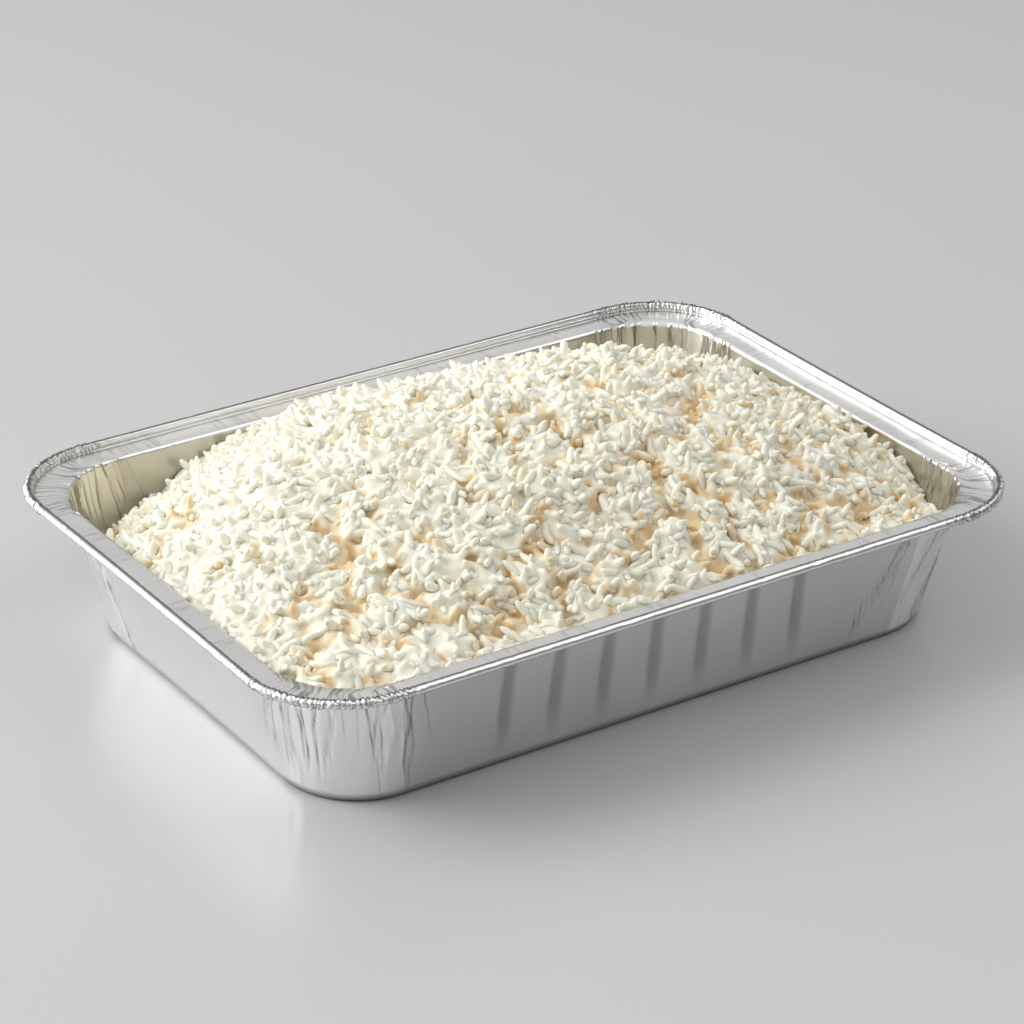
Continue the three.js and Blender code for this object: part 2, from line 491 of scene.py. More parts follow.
def wallShift(height):
    # how far the wall moves inward at a height, for every step round the tray
    up = min(max(height / tray["flangeHeight"], 0.0), 1.0)
    if up <= 0.02:
        return np.zeros(len(around))
    shift = tray["fluteDepth"] * fluteShare(height) * math.sin(math.pi * min(up * 1.02, 1.0))
    shift += creaseLines(height)[0]
    calm = 1.0 - math.exp(-((1.0 - up) / 0.05) ** 2)
    level = np.full(len(around), height)
    depth, pitch = tray["wave"]
    shift += depth * calm * valueNoise(around, level * 1.4, pitch, 3)
    depth, pitch = tray["ripple"]
    ripple = depth * calm * valueNoise(around + level * 0.7, level, pitch, 4)
    return shift + ripple * (0.35 + cornerShare)


def wallRing(height, inset):
    up = (height - tray["footHeight"]) / (tray["flangeHeight"] - tray["footHeight"])
    size = [lerp(foot, fold + 0.35, up) - inset for foot, fold in zip(tray["foot"], tray["fold"])]
    points, outward = outline(size)
    points = points - outward * wallShift(height)[:, None]
    return np.column_stack([points, np.full(len(points), height)])


def levelRing(size, inset, height):
    points, outward = outline([value - inset for value in size])
    return np.column_stack([points, np.full(len(points), height)])


def flangeRing(inset, sheetSide):
    # the flange is flat, with fine stretch marks across it that deepen round the corners
    ring = levelRing(tray["bead"], inset, tray["flangeHeight"] - sheetSide * tray["foil"])
    reach = float(smooth(12.0, 5.0, inset))
    broad = valueNoise(around, around * 0.0 + inset * 0.05, 14.0, 12)
    ring[:, 2] += (0.18 * broad - 0.34 * stretchMarks(inset)) * reach
    return ring


def beadRing(angle):
    # a roll with an upright inner face and a sloping, rounded outer one
    radius = tray["beadRadius"]
    c = math.cos(angle)
    s = math.sin(angle)
    power = tray["beadSquare"] if c < 0 else tray["beadSlope"]
    if c > 0 > s:
        power = 2.4
    reach = radius / (abs(c) ** power + abs(s) ** power) ** (1 / power)
    return levelRing(tray["bead"], -reach * c, tray["beadHeight"] + reach * s)


def trayRings():
    # up the inside, out over the flange, round the bead, and back down the outside
    foil = tray["foil"]
    fold = tray["flangeHeight"]
    foot = tray["foot"]
    inside = [levelRing(foot, tray["floorInset"], foil), levelRing(foot, 2.6 + foil, foil),
              levelRing(foot, 1.1 + foil, foil + 0.5)]
    # the foil is drawn thicker low down, where the rice hides it
    inside += [wallRing(height, foil + 0.5 * float(smooth(52.0, 30.0, height)))
               for height in tray["innerHeights"]]
    flange = [wallRing(fold, foil)]
    flange += [flangeRing(inset, 0.0) for inset in tray["flangeInsets"]]
    flange += [levelRing(tray["bead"], 2.05, fold - 0.12)]
    bead = [beadRing(angle) for angle in beadAngles]
    outside = [levelRing(tray["bead"], 1.6, fold - foil)]
    outside += [flangeRing(inset, 1.0) for inset in tray["flangeInsets"][::-3]]
    outside += [wallRing(fold - foil, 0.0)]
    outside += [wallRing(height, 0.0) for height in tray["outerHeights"][::-1]]
    outside += [levelRing(foot, 0.35, 1.1), levelRing(foot, 1.1, 0.35),
                levelRing(foot, 2.6, 0.0), levelRing(foot, tray["floorInset"], 0.0)]
    return inside, flange, bead, outside


def ringPaintedShade(ring):
    # painted shade: how much the foil's colour is darkened round a ring of the wall, the floor or
    # the flange
    level = float(np.mean(ring[:, 2]))
    under = tray["flangeHeight"] - tray["foil"]
    if 3.0 < level < under - 0.01 and np.ptp(ring[:, 2]) < 1e-6:
        # painted shade: dark lines along the pleats' folds, painted dark reflections in the flutes,
        # and the long walls painted a little darker than the ends
        paintedDark = np.maximum(tray["creaseShade"] * creaseLines(level)[1],
                         tray["fluteShade"] * fluteShare(level))
        return (1.0 - paintedDark) * np.where(onLong, 0.8, 1.0)
    # a painted contact shadow along the foot, fainter on the ends
    if level < 1.2:
        return np.where(onEnd, 0.8, 0.4)
    # painted shade in the folds of the stretch marks, and a painted dark line in the crevice where
    # the flange meets the roll
    inset = tray["bead"][1] - float(np.max(ring[:, 1]))
    return (1.0 - tray["stretchShade"] * stretchMarks(inset)) * (0.5 if inset < 2.5 else 1.0)


def beadPaintedShade(angle):
    # painted shade on the roll: dark lines along its top and underneath, where its creases lie in
    # shade
    top = math.exp(-((angle - math.radians(102.0)) / 0.42) ** 2)
    under = math.exp(-((angle + math.radians(75.0)) / 0.5) ** 2)
    return np.full(len(around), 1.0 - 0.93 * top - 0.7 * under)


def makeTray():
    inside, flange, bead, outside = trayRings()
    rings = inside + flange + bead + outside
    ringSize = len(around)
    closing = [[[0.0, 0.0, tray["foil"]]], [[0.0, 0.0, 0.0]]]    # the middle of the floor
    vertices = np.concatenate(rings + closing) * mm
    faces = ringFaces(len(rings), ringSize)
    middle = len(rings) * ringSize
    last = middle - ringSize
    for i in range(ringSize):
        after = (i + 1) % ringSize
        faces.append((middle, i, after))
        faces.append((middle + 1, last + after, last + i))
    piece = makeObject("foilTray", vertices, faces)

    def store(name, values, atMiddle=0.0):
        # values for each ring, each step round it, or both
        spread = np.broadcast_to(values, (len(rings), ringSize)).ravel()
        addAttribute(piece.data, name, np.concatenate([spread, [atMiddle, atMiddle]]))

    # the foil's colour is darkened by painted shade, ring by ring
    sheen = [ringPaintedShade(ring) for ring in inside + flange]
    sheen += [beadPaintedShade(angle) for angle in beadAngles]
    sheen += [ringPaintedShade(ring) for ring in outside]
    row = np.arange(len(rings))[:, None]
    beadRow = row - len(inside + flange)
    onBead = (beadRow >= 0) & (beadRow < len(bead))
    winding = np.where(onBead, beadAngles[np.clip(beadRow, 0, len(bead) - 1)], 0.0)
    steps = [np.linalg.norm(b[0] - a[0]) for a, b in zip(rings[:-1], rings[1:])]
    across = np.concatenate([[0.0], np.cumsum(steps)])
    store("sheen", sheen, 1.0)
    store("inside", row < len(inside))
    store("onBead", onBead)
    store("winding", winding)
    store("around", around * mm)
    store("corner", cornerShare)
    store("across", across[:, None] * mm)
    runGeometryTree(piece, makeCrimpTree(), crimp)
    piece.data.shade_smooth()
    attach(piece, "root")
    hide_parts("foil_tray")


def makeCrimpTree():
    # ridges like a twisted cord round the bead at the corners, and small nicks along the rest
    tree, sizes, result = newGeometryTree("crimpRim", crimp)
    calc, named = treeTools(tree)
    place = addNode(tree, "GeometryNodeInputPosition").outputs[0]
    drift = noiseNode(tree, place, sizes["driftSize"], 1.0)
    patch = noiseNode(tree, place, sizes["patchSize"], 2.0)
    nick = noiseNode(tree, place, sizes["nickSize"], 3.0)
    turns = calc("DIVIDE", named("around"), sizes["ridgePitch"])
    twist = calc("MULTIPLY", named("winding"), sizes["ridgeSlant"])
    phase = calc("ADD", calc("MULTIPLY", turns, 2 * math.pi), twist)
    phase = calc("ADD", phase, calc("MULTIPLY", drift, sizes["drift"]))
    wave = calc("SINE", phase, 0.0)
    patchy = calc("MAXIMUM", calc("SUBTRACT", patch, 0.30), 0.0)
    patchy = calc("MULTIPLY", patchy, 5.0)
    ridge = calc("MULTIPLY", calc("MULTIPLY", wave, patchy), sizes["ridgeHeight"])
    ridge = calc("MULTIPLY", ridge, named("corner"))
    sharp = calc("MAXIMUM", calc("SUBTRACT", nick, 0.52), 0.0)
    dent = calc("MULTIPLY", calc("MULTIPLY", sharp, 6.0), sizes["nickDepth"])
    height = calc("MULTIPLY", calc("SUBTRACT", ridge, dent), named("onBead"))
    normal = addNode(tree, "GeometryNodeInputNormal").outputs[0]
    moved = addNode(tree, "GeometryNodeSetPosition", {
        "Geometry": sizes["Geometry"], "Offset": scaleNode(tree, normal, height)})
    # painted shade: the furrows between the ridges are darkened
    furrow = calc("MULTIPLY", calc("MAXIMUM", calc("MULTIPLY", wave, -1.0), 0.0),
                  calc("MINIMUM", patchy, 1.0))
    furrow = calc("MULTIPLY", calc("MULTIPLY", furrow, named("corner")), named("onBead"))
    shaded = calc("SUBTRACT", 1.0, calc("MULTIPLY", furrow, sizes["ridgeShade"]))
    stored = addNode(tree, "GeometryNodeStoreNamedAttribute", {
        "Geometry": moved.outputs[0], "Name": "sheen",
        "Value": calc("MULTIPLY", named("sheen"), shaded)}, data_type="FLOAT", domain="POINT")
    real = addNode(tree, "GeometryNodeRealizeInstances", {"Geometry": stored.outputs[0]})
    finish = addNode(tree, "GeometryNodeSetMaterial", {"Geometry": real.outputs[0],
                                                       "Material": foilMaterial})
    tree.links.new(finish.outputs[0], result["Geometry"])
    return tree


def makeFoilMaterial():
    material, tree, shader = newMaterial("pressedFoil")
    place = addNode(tree, "ShaderNodeTexCoord").outputs["Object"]
    cloud = noiseNode(tree, place, 22.0, 4.0)
    tone = rangeNode(tree, cloud, 0.3, 0.7, *foilFinish["tone"])
    # the cloudy tone is darkened by the painted shade attribute
    shade = mathNode(tree, "MULTIPLY", tone, storedValue(tree, "sheen"))
    bare = addNode(tree, "ShaderNodeCombineColor", {0: shade, 1: shade, 2: shade})
    # the inside is tinted darker and warmer: painted shade and a painted reflection of the rice
    color = addNode(tree, "ShaderNodeMix", {0: storedValue(tree, "inside"), 6: bare.outputs[0],
                                            7: foilFinish["insideShade"]},
                    data_type="RGBA", blend_type="MULTIPLY")
    # fine rolling lines run across the foil, and small dents lie all over it
    sheet = addNode(tree, "ShaderNodeCombineXYZ", {0: storedValue(tree, "around"),
                                                   1: storedValue(tree, "across")})
    lines = addNode(tree, "ShaderNodeVectorMath", {0: sheet.outputs[0], 1: (420.0, 50.0, 1.0)},
                    operation="MULTIPLY")
    both = mathNode(tree, "ADD", noiseNode(tree, lines.outputs[0], 1.0, 2.0),
                    noiseNode(tree, place, 120.0, 3.0))
    bump = addNode(tree, "ShaderNodeBump", {"Height": both, "Strength": 0.35,
                                            "Distance": foilFinish["bumpDepth"]})
    fillInputs(tree, shader, {
        "Base Color": color.outputs[2], "Metallic": 1.0, "Normal": bump.outputs[0],
        "Roughness": rangeNode(tree, cloud, 0.3, 0.7, *foilFinish["roughness"])})
    return material


# the rice: a lumpy core with grains stuck in its skin, and loose grains on top, in millimetres

heap = {
    "outlineStep": 3.0,        # millimetres between the places where the outline is read
    "reliefStep": 0.8,
    "gridStep": 1.3,
    "bedStep": 2.0,
    "wallGap": 1.0,
    "below": 2.4,              # how far the core lies under the heap's outline
    "clumpPitch": 19.0,
    "valleyDepth": 5.0,
    "clumpRise": 3.4,
    "knotPitch": 8.5,
    "knotDepth": 2.2,
    "sunkenGrains": 5200,      # grains raised in the core's surface
    "sunkenLength": 11.0,
    "sunkenWidth": 4.3,
    "skinSize": 0.8 * mm,      # the size of the skin's faces round the stuck grains
    "softening": 1,
    "skinTriangles": 192000,
    "grainGap": 0.35,          # how close grains come to the tray's wall
    "grainDensity": 45000.0,   # places tried in each square metre
}

grainKinds = {
    "riceLong": {"length": 11.2, "width": 3.5, "bend": 0.4},
    "riceCurved": {"length": 10.8, "width": 3.4, "bend": 1.2},
    "riceStanding": {"length": 10.4, "width": 3.3, "bend": 0.6},
    "riceShort": {"length": 6.8, "width": 3.4, "bend": 0.2},
}

# layers of grains stuck fast in the core's skin: how far apart they lie, how they tilt and how
# far out they stand, and how much they keep to the peaks
stuckLayers = {
    "stuckLong": {"kind": "riceLong", "spacing": 4.4, "tilt": (-0.4, 0.4), "lift": (-0.8, 0.9),
                  "peaks": 0.2, "seed": 1},
    "stuckCurved": {"kind": "riceCurved", "spacing": 4.8, "tilt": (-0.6, 0.6),
                    "lift": (-0.4, 1.4), "peaks": 0.5, "seed": 2},
    "stuckStanding": {"kind": "riceStanding", "spacing": 4.6, "tilt": (0.4, 1.25),
                      "lift": (-1.2, 2.4), "peaks": 0.6, "seed": 3},
}

# separate grains on top, one piece for each kind
looseLayers = {
    "riceLong": {"kind": "riceLong", "spacing": 5.4, "tilt": (-0.45, 0.45), "lift": (-0.5, 1.2),
                 "peaks": 0.5, "seed": 11},
    "riceCurved": {"kind": "riceCurved", "spacing": 5.6, "tilt": (-0.6, 0.6),
                   "lift": (-0.5, 1.6), "peaks": 0.6, "seed": 12},
    "riceStanding": {"kind": "riceStanding", "spacing": 5.6, "tilt": (0.5, 1.3),
                     "lift": (-0.8, 2.6), "peaks": 0.7, "seed": 13},
    "riceShort": {"kind": "riceShort", "spacing": 8.0, "tilt": (-0.6, 0.6), "lift": (-0.8, 0.6),
                  "peaks": 0.4, "seed": 14},
}

# softness is how far light soaks in
riceFinishes = {
    "stuckRice": {"softness": 2.2 * mm, "white": (0.875, 0.86, 0.742, 1.0)},
    "cookedRice": {"softness": 0.9 * mm, "white": (0.91, 0.895, 0.772, 1.0)},
}
# warm tan painted into the hollows and between the grains as shade
hollowShadeTan = (0.77, 0.575, 0.32, 1.0)


def heapOutline(x, y):
    # the height of the frame's heap over a grid of places, and nothing where there is none
    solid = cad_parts["rice"].data
    triangles = [tuple(p.vertices) for p in solid.polygons]
    tree = BVHTree.FromPolygons(readPoints(solid).tolist(), triangles)
    low = cadBox[0][2]
    heights = np.full(x.shape, np.nan)
    for index in np.ndindex(x.shape):
        hit = tree.ray_cast(Vector((x[index] * mm, y[index] * mm, 0.3)), Vector((0, 0, -1)))
        if hit[0] is not None and hit[0].z > low + 0.01:
            heights[index] = hit[0].z / mm
    return heights


def fillAndSmooth(heights, rounds):
    # spreads the known heights over the gaps, then rounds the surface off
    known = np.isfinite(heights)
    filled = np.where(known, heights, 0.0)
    weight = known.astype(float)
    for _ in range(60):
        if weight.min() > 0:
            break
        sumHeight = np.zeros_like(filled)
        sumWeight = np.zeros_like(weight)
        for axis, step in ((0, 1), (0, -1), (1, 1), (1, -1)):
            sumHeight += np.roll(filled * weight, step, axis)
            sumWeight += np.roll(weight, step, axis)
        grow = (weight == 0) & (sumWeight > 0)
        filled = np.where(grow, sumHeight / np.maximum(sumWeight, 1), filled)
        weight = np.where(grow, 1.0, weight)
    for _ in range(rounds):
        padded = np.pad(filled, 1, mode="edge")
        filled = (padded[:-2, 1:-1] + padded[2:, 1:-1] + padded[1:-1, :-2] + padded[1:-1, 2:]
                  + 4 * filled) / 8
    return filled


def readGrid(values, columns, rows, step, x, y):
    # a grid's value at any place, even between its points
    u = np.clip((x - columns[0]) / step, 0, len(columns) - 1.001)
    v = np.clip((y - rows[0]) / step, 0, len(rows) - 1.001)
    i = u.astype(int)
    j = v.astype(int)
    return lerp(lerp(values[i, j], values[i + 1, j], u - i),
                lerp(values[i, j + 1], values[i + 1, j + 1], u - i), v - j)


coarseX = np.arange(-160.0, 161.0, heap["outlineStep"])
coarseY = np.arange(-116.0, 117.0, heap["outlineStep"])
coarseHeight = fillAndSmooth(heapOutline(*np.meshgrid(coarseX, coarseY, indexing="ij")), 6)


def envelope(x, y):
    # the heap's outline at any place
    return readGrid(coarseHeight, coarseX, coarseY, heap["outlineStep"], x, y)


def mounds(x, y, pitch, seed):
    # cells around scattered centres: the distance from their borders, and a level for each
    random = np.random.default_rng(seed)
    columns = np.arange(-170.0, 171.0, pitch)
    rows = np.arange(-130.0, 131.0, pitch * 0.9)
    centres = np.array([(cx, cy) for cx in columns for cy in rows])
    centres = centres + random.uniform(-0.46, 0.46, centres.shape) * pitch
    size = random.uniform(0.75, 1.2, len(centres))
    levels = random.uniform(-1.0, 1.0, len(centres))
    nearest = np.full(x.shape, 9.0)
    second = np.full(x.shape, 9.0)
    level = np.zeros(x.shape)
    for (cx, cy), scale, own in zip(centres, size, levels):
        away = np.hypot(x - cx, y - cy) / (pitch * scale)
        second = np.minimum(second, np.maximum(away, nearest))
        level = np.where(away < nearest, own, level)
        nearest = np.minimum(nearest, away)
    return second - nearest, level


def reliefAt(x, y):
    # clumps with narrow valleys between: the height, and how deep in a hollow each place lies
    warpX = x + 5.0 * valueNoise(x, y, 17.0, 21) + 2.2 * valueNoise(x, y, 6.0, 25)
    warpY = y + 5.0 * valueNoise(x, y, 17.0, 22) + 2.2 * valueNoise(x, y, 6.0, 26)
    away, level = mounds(warpX, warpY, heap["clumpPitch"], 31)
    knotAway, knotLevel = mounds(warpX, warpY, heap["knotPitch"], 32)
    # some clumps stick together, and more of them toward the back left
    drift = smooth(-150.0, 90.0, x - 0.9 * y)
    gate = valueNoise(x, y, 15.0, 27) + 0.6 * valueNoise(x, y, 7.0, 28)
    apart = smooth(-0.5, 0.5, gate + lerp(-0.25, 0.4, drift))
    valley = (1.0 - smooth(0.0, 0.28, away)) * lerp(0.15, 1.0, apart)
    knot = (1.0 - smooth(0.0, 0.45, knotAway)) * lerp(0.5, 1.0, drift)
    height = heap["clumpRise"] * (np.minimum(away, 0.8) - 0.4) * lerp(0.6, 1.0, drift)
    height += level * smooth(0.05, 0.4, away) * lerp(0.6, 1.4, drift)
    height += knotLevel * smooth(0.0, 0.5, knotAway) * lerp(0.3, 0.9, drift)
    height -= heap["valleyDepth"] * valley + heap["knotDepth"] * knot
    hollow = np.clip(1.15 * valley - 0.1 + 0.42 * knot * apart, 0.0, 1.0)
    return height, hollow


bedX = np.arange(-158.0, 158.5, heap["reliefStep"])
bedY = np.arange(-114.0, 114.5, heap["reliefStep"])
bedPlaces = np.meshgrid(bedX, bedY, indexing="ij")
bedRelief, bedHollow = reliefAt(*bedPlaces)
bedHeight = envelope(*bedPlaces) - heap["below"] + bedRelief


def sample(values, x, y):
    # a value of the relief at any place
    return readGrid(values, bedX, bedY, heap["reliefStep"], x, y)


def sinkGrains(heights):
    # raises the shapes of grains lying in the surface, then softens where they stick together
    random = np.random.default_rng(41)
    step = heap["reliefStep"]
    result = heights - 0.5
    count = heap["sunkenGrains"]
    places = np.column_stack([random.uniform(-152.0, 152.0, count),
                              random.uniform(-108.0, 108.0, count)])
    turns = random.uniform(0.0, math.pi, count)
    halves = 0.5 * heap["sunkenLength"] * random.uniform(0.75, 1.15, count)
    radii = 0.5 * heap["sunkenWidth"] * random.uniform(0.85, 1.15, count)
    lifts = random.uniform(-0.9, 0.2, count)
    leans = random.normal(0.0, 0.22, count)
    wayX = np.cos(turns)
    wayY = np.sin(turns)
    reachX = wayX * halves * 0.7
    reachY = wayY * halves * 0.7
    front = sample(heights, places[:, 0] + reachX, places[:, 1] + reachY)
    back = sample(heights, places[:, 0] - reachX, places[:, 1] - reachY)
    slopes = np.clip((front - back) / (1.4 * halves), -1.3, 1.3) + leans
    middles = 0.5 * (front + back) + lifts
    for k in range(count):
        cx, cy = places[k]
        half = halves[k]
        i0 = max(int((cx - half - bedX[0]) / step), 0)
        i1 = int((cx + half - bedX[0]) / step) + 2
        j0 = max(int((cy - half - bedY[0]) / step), 0)
        j1 = int((cy + half - bedY[0]) / step) + 2
        dx = bedX[i0:i1, None] - cx
        dy = bedY[None, j0:j1] - cy
        along = dx * wayX[k] + dy * wayY[k]
        aside = dy * wayX[k] - dx * wayY[k]
        share = np.minimum(np.abs(along) / half, 1.0)
        wide = radii[k] * (1.0 - share ** 2.6) ** 0.5
        dome = 0.6 * np.sqrt(np.maximum(wide ** 2 - aside ** 2, 0.0))
        top = middles[k] + slopes[k] * along + dome
        patch = result[i0:i1, j0:j1]
        result[i0:i1, j0:j1] = np.where(dome > 0.0, np.maximum(patch, top), patch)
    padded = np.pad(result, 1, mode="edge")
    cross = padded[:-2, 1:-1] + padded[2:, 1:-1] + padded[1:-1, :-2] + padded[1:-1, 2:]
    return (cross + 4 * result) / 8


def innerWall(height):
    # half length, half width and corner radius of the space inside the tray at a height
    up = (np.asarray(height) - tray["footHeight"]) / (tray["flangeHeight"] - tray["footHeight"])
    up = np.clip(up, 0.0, 1.0)
    return [lerp(foot - tray["foil"], fold, up) for foot, fold in zip(tray["foot"], tray["fold"])]


def wallDepth(x, y, height):
    # how far inside the wall a place lies, negative outside, and the way outward
    halfLength, halfWidth, radius = innerWall(height)
    halfLength = halfLength - tray["pinch"] * (1 - np.clip(np.abs(y) / halfWidth, 0, 1) ** 2)
    qx = np.abs(x) - (halfLength - radius)
    qy = np.abs(y) - (halfWidth - radius)
    outX = np.maximum(qx, 0.0)
    outY = np.maximum(qy, 0.0)
    reach = np.hypot(outX, outY)
    depth = radius - reach - np.minimum(np.maximum(qx, qy), 0.0)
    corner = reach > 1e-6
    safe = np.where(corner, reach, 1.0)
    wayX = np.where(corner, outX / safe, (qx > qy).astype(float)) * np.sign(x)
    wayY = np.where(corner, outY / safe, (qx <= qy).astype(float)) * np.sign(y)
    return depth, wayX, wayY


def pushInside(points, gap):
    # moves what lies too near the wall, or past it, back inside
    depth, wayX, wayY = wallDepth(points[:, 0], points[:, 1], points[:, 2])
    push = np.maximum(gap - depth, 0.0)
    points[:, 0] -= wayX * push
    points[:, 1] -= wayY * push


def heapGrid(step):
    # a grid of places whose outer border is the rounded outline of the tray's inside
    halfLength, halfWidth, radius = [value - heap["wallGap"] for value in tray["fold"]]
    columns = int(2 * halfLength / step)
    rows = int(2 * halfWidth / step)
    u, v = np.meshgrid(np.linspace(-1, 1, columns), np.linspace(-1, 1, rows), indexing="ij")
    s = np.maximum(np.maximum(np.abs(u), np.abs(v)), 1e-6)
    x = np.abs(u) * halfLength
    y = np.abs(v) * halfWidth
    a = np.maximum(x - s * (halfLength - radius), 0.0) / (s * radius)
    b = np.maximum(y - s * (halfWidth - radius), 0.0) / (s * radius)
    bend = np.where(np.abs(u) >= np.abs(v), 0.5 * b, 1.0 - 0.5 * a) * math.pi / 2
    inCorner = (a > 0) & (b > 0)
    x = np.where(inCorner, s * (halfLength - radius + radius * np.cos(bend)), x) * np.sign(u)
    y = np.where(inCorner, s * (halfWidth - radius + radius * np.sin(bend)), y) * np.sign(v)
    x -= tray["pinch"] * (1 - (y / halfWidth) ** 2) * x / halfLength
    return x, y


def hollowAt(points, dip):
    # how deep in a hollow each place lies, which sets the painted shade; dip is how much a gap
    # between grains counts as one
    sunk = points[:, 2] - sample(bedHeight, points[:, 0], points[:, 1])
    return sample(bedHollow, points[:, 0], points[:, 1]) + dip * smooth(0.9, -0.9, sunk)


def makeHeap(name, step, heights, dip):
    # the top of the heap as a grid, then down along the wall and closed underneath
    x, y = heapGrid(step)
    columns, rows = x.shape
    z = sample(heights, x, y)
    number = np.arange(columns * rows).reshape(columns, rows)
    faces = np.stack([number[:-1, :-1], number[1:, :-1], number[1:, 1:], number[:-1, 1:]], -1)
    faces = faces.reshape(-1, 4).tolist()
    rim = np.concatenate([number[:-1, 0], number[-1, :-1], number[:0:-1, -1], number[0, :0:-1]])
    points = [np.column_stack([x.ravel(), y.ravel(), z.ravel()])]
    edge = points[0][rim]
    low = tray["foil"] + 0.4
    above = rim
    total = len(points[0])
    for share, shrink in ((0.08, 1.0), (0.3, 1.0), (0.65, 1.0), (1.0, 0.99), (1.0, 0.97)):
        level = lerp(edge[:, 2], low + 0.6, share) if shrink == 1.0 else np.full(len(rim), low)
        points.append(np.column_stack([edge[:, :2] * shrink, level]))
        below = np.arange(total, total + len(rim))
        faces += np.stack([below, np.roll(below, -1), np.roll(above, -1), above], -1).tolist()
        above = below
        total += len(rim)
    points = np.concatenate(points + [[[0.0, 0.0, low]]])
    faces += [(total, b, a) for a, b in zip(above, np.roll(above, -1))]
    pushInside(points, heap["wallGap"])
    piece = makeObject(name, points * mm, faces)
    addAttribute(piece.data, "hollow", hollowAt(points, dip))
    onTop = np.arange(len(points)) < columns * rows
    edgeFree = smooth(1.5, 4.5, wallDepth(points[:, 0], points[:, 1], points[:, 2])[0])
    addAttribute(piece.data, "cover", onTop * edgeFree)
    drift = smooth(-150.0, 90.0, points[:, 0] - 0.9 * points[:, 1])
    addAttribute(piece.data, "apart", lerp(0.8, 1.0, drift))
    addAttribute(piece.data, "tone", np.full(len(points), 0.5))
    return piece


def makeGrain(name, kind):
    # one grain along X: blunt ends, slightly flat, and bent upward in the middle
    sides = 7
    length = kind["length"]
    radius = kind["width"] / 2
    stations = (-0.92, -0.62, 0.0, 0.62, 0.92)
    points = []
    for k, t in enumerate(stations):
        wide = radius * (1.0 - abs(t) ** 3.2) ** 0.5
        for s in range(sides):
            angle = 2 * math.pi * (s + 0.5 * (k % 2)) / sides
            points.append((t * length / 2, wide * math.cos(angle),
                           0.86 * wide * math.sin(angle) - kind["bend"] * t * t))
    for end in (-1.0, 1.0):
        points.append((end * length / 2, 0.0, -kind["bend"]))
    faces = []
    for k in range(len(stations) - 1):
        for s in range(sides):
            after = (s + 1) % sides
            faces.append((k * sides + s, k * sides + after, (k + 1) * sides + after,
                          (k + 1) * sides + s))
    tip = len(stations) * sides
    last = tip - sides
    for s in range(sides):
        after = (s + 1) % sides
        faces.append((tip, after, s))
        faces.append((tip + 1, last + s, last + after))
    return makeObject(name, np.array(points) * mm, faces)


def makeScatterTree(name, grain, sizes):
    tree, given, result = newGeometryTree(name, sizes)
    calc, named = treeTools(tree)

    def randomFloat(low, high, extra):
        # each random value has its own seed, worked out from the layer's
        seed = calc("ADD", calc("MULTIPLY", given["seed"], 37.0), float(extra))
        made = addNode(tree, "FunctionNodeRandomValue", {2: low, 3: high, "Seed": seed},
                       data_type="FLOAT")
        return made.outputs[1]

    # grains thin out in the hollows by the share called peaks, and where the heap is stuck fast
    clear = calc("SUBTRACT", 1.0, calc("MULTIPLY", named("hollow"), given["peaks"]))
    chance = calc("MULTIPLY", calc("MULTIPLY", clear, named("cover")), named("apart"))
    scatter = addNode(tree, "GeometryNodeDistributePointsOnFaces", {
        "Mesh": given["Geometry"], "Distance Min": given["spacing"],
        "Density Max": given["density"], "Density Factor": chance, "Seed": given["seed"]},
        distribute_method="POISSON")
    lift = randomFloat(given["liftLow"], given["liftHigh"], 1)
    raised = addNode(tree, "GeometryNodeSetPosition", {
        "Geometry": scatter.outputs["Points"],
        "Offset": scaleNode(tree, scatter.outputs["Normal"], lift)})
    toned = addNode(tree, "GeometryNodeStoreNamedAttribute", {
        "Geometry": raised.outputs[0], "Name": "tone",
        "Value": randomFloat(0.0, 1.0, 2)}, data_type="FLOAT", domain="POINT")
    tilt = randomFloat(given["tiltLow"], given["tiltHigh"], 3)
    spin = randomFloat(0.0, 2 * math.pi, 4)
    roll = randomFloat(0.0, 2 * math.pi, 5)
    angles = addNode(tree, "ShaderNodeCombineXYZ", {0: roll, 1: tilt, 2: spin})
    local = addNode(tree, "FunctionNodeEulerToRotation", {0: angles.outputs[0]})
    turned = addNode(tree, "FunctionNodeRotateRotation", {
        "Rotation": scatter.outputs["Rotation"], "Rotate By": local.outputs[0]},
        rotation_space="LOCAL")
    long = randomFloat(0.82, 1.12, 6)
    thick = randomFloat(0.9, 1.18, 7)
    size = addNode(tree, "ShaderNodeCombineXYZ", {0: long, 1: thick, 2: thick})
    shape = addNode(tree, "GeometryNodeObjectInfo", {"Object": grain})
    placed = addNode(tree, "GeometryNodeInstanceOnPoints", {
        "Points": toned.outputs[0], "Instance": shape.outputs["Geometry"],
        "Rotation": turned.outputs[0], "Scale": size.outputs[0]})
    real = addNode(tree, "GeometryNodeRealizeInstances", {"Geometry": placed.outputs[0]})
    finish = addNode(tree, "GeometryNodeSetMaterial", {"Geometry": real.outputs[0],
                                                       "Material": grainMaterial})
    tree.links.new(finish.outputs[0], result["Geometry"])
    return tree


def keepOffWall(mesh):
    # grains that would pass through the foil are pressed back, but may lie over the flange
    points = readPoints(mesh) / mm
    fold = tray["flangeHeight"]
    pushInside(points, heap["grainGap"] - 6.0 * smooth(fold + 0.2, fold + 1.2, points[:, 2]))
    mesh.vertices.foreach_set("co", (points * mm).astype(np.float32).ravel())
    mesh.update()


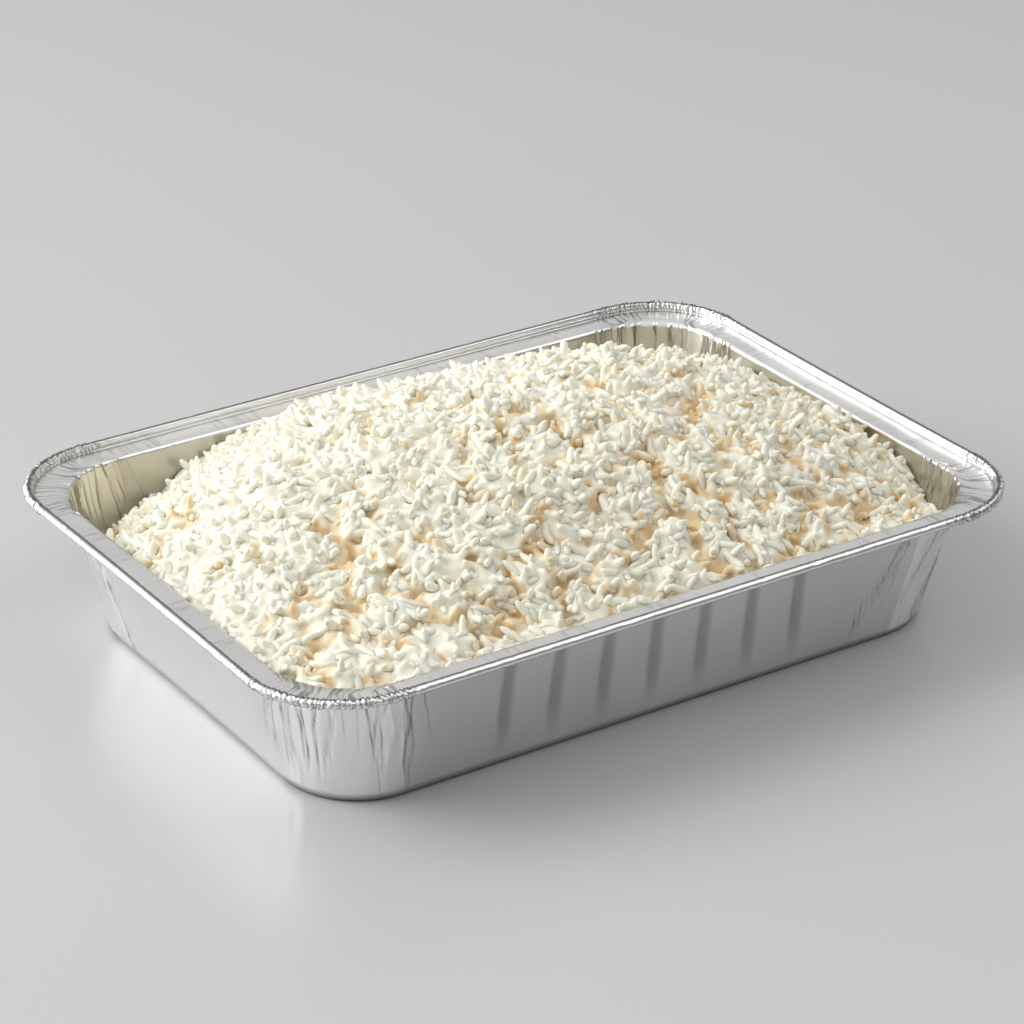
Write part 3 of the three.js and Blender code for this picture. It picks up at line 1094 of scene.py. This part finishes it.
def makeRiceMaterial(name):
    # cream white grains, with a warm tan painted down in the hollows as shade
    finish = riceFinishes[name]
    material, tree, shader = newMaterial(name)
    place = addNode(tree, "ShaderNodeTexCoord").outputs["Object"]
    uneven = rangeNode(tree, noiseNode(tree, place, 45.0, 3.0), 0.3, 0.7, 0.7, 1.3)
    # painted shade: the deeper in a hollow, the more tan, unevenly
    deep = rangeNode(tree, storedValue(tree, "hollow"), 0.22, 1.0, 0.0, 0.9)
    varied = addNode(tree, "ShaderNodeMath", {0: deep, 1: uneven}, operation="MULTIPLY",
                     use_clamp=True)
    warm = addNode(tree, "ShaderNodeMix", {0: varied.outputs[0], 6: finish["white"],
                                           7: hollowShadeTan}, data_type="RGBA")
    bright = rangeNode(tree, storedValue(tree, "tone"), 0.0, 1.0, 0.94, 1.04)
    bump = addNode(tree, "ShaderNodeBump", {"Height": noiseNode(tree, place, 900.0, 3.0),
                                            "Distance": 0.12 * mm, "Strength": 0.4})
    fillInputs(tree, shader, {
        "Base Color": scaleNode(tree, warm.outputs[2], bright), "Normal": bump.outputs[0],
        "Roughness": 0.5, "Specular IOR Level": 0.3, "Subsurface Weight": 1.0,
        "Subsurface Radius": (1.0, 1.0, 1.0), "Subsurface Scale": finish["softness"]})
    return material


def scatterGrains(name, bed, layer):
    # the grains of one layer over the bed, as one plain mesh
    grain = makeGrain(name + "Shape", grainKinds[layer["kind"]])
    piece = bpy.data.objects.new(name, bed.data.copy())
    scene.collection.objects.link(piece)
    sizes = {"spacing": layer["spacing"] * mm, "density": heap["grainDensity"],
             "tiltLow": layer["tilt"][0], "tiltHigh": layer["tilt"][1],
             "liftLow": layer["lift"][0] * mm, "liftHigh": layer["lift"][1] * mm,
             "peaks": layer["peaks"], "seed": layer["seed"]}
    runGeometryTree(piece, makeScatterTree("scatter_" + name, grain, sizes), sizes)
    count = len(piece.data.vertices) // len(grain.data.vertices)
    bpy.data.objects.remove(grain)
    keepOffWall(piece.data)
    piece.data.shade_smooth()
    print(name, "grains", count, "triangles", countTriangles(piece.data))
    return piece


def mergeHeap(pieces):
    # one closed skin round the core and the grains stuck to it, soft where they meet
    whole = bmesh.new()
    for piece in pieces:
        whole.from_mesh(piece.data)
        bpy.data.objects.remove(piece)
    mesh = bpy.data.meshes.new("riceCore")
    whole.to_mesh(mesh)
    whole.free()
    skin = bpy.data.objects.new("riceCore", mesh)
    scene.collection.objects.link(skin)
    remesh = skin.modifiers.new("remesh", "REMESH")
    remesh.mode = "VOXEL"
    remesh.voxel_size = heap["skinSize"]
    soften = skin.modifiers.new("soften", "SMOOTH")
    soften.factor = 0.35
    soften.iterations = heap["softening"]
    keepResult(skin)
    full = countTriangles(skin.data)
    thin = skin.modifiers.new("thin", "DECIMATE")
    thin.ratio = min(heap["skinTriangles"] / full, 1.0)
    keepResult(skin)
    mesh = skin.data
    for name in ("hollow", "tone", "cover", "apart"):
        layer = mesh.attributes.get(name)
        if layer:
            mesh.attributes.remove(layer)
    keepOffWall(mesh)
    addAttribute(mesh, "hollow", hollowAt(readPoints(mesh) / mm, 0.35))
    addAttribute(mesh, "tone", np.full(len(mesh.vertices), 0.5))
    mesh.materials.clear()
    mesh.materials.append(coreMaterial)
    mesh.shade_smooth()
    print("riceCore from", full, "triangles", countTriangles(mesh))
    return skin


def makeRice():
    core = makeHeap("riceCore", heap["gridStep"], sinkGrains(bedHeight), 0.2)
    bed = makeHeap("riceBed", heap["bedStep"], bedHeight, 0.0)
    stuck = [scatterGrains(name, bed, layer) for name, layer in stuckLayers.items()]
    pieces = [mergeHeap([core] + stuck)]
    pieces += [scatterGrains(name, bed, layer) for name, layer in looseLayers.items()]
    bpy.data.objects.remove(bed)
    for piece in pieces:
        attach(piece, "root")
        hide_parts("rice")


makeCamera()
makeLights()
makeRoom()
print("camera, lights and floor are made")
foilMaterial = makeFoilMaterial()
makeTray()
print("foil tray is made")
coreMaterial = makeRiceMaterial("stuckRice")
grainMaterial = makeRiceMaterial("cookedRice")
makeRice()
print("rice is made")
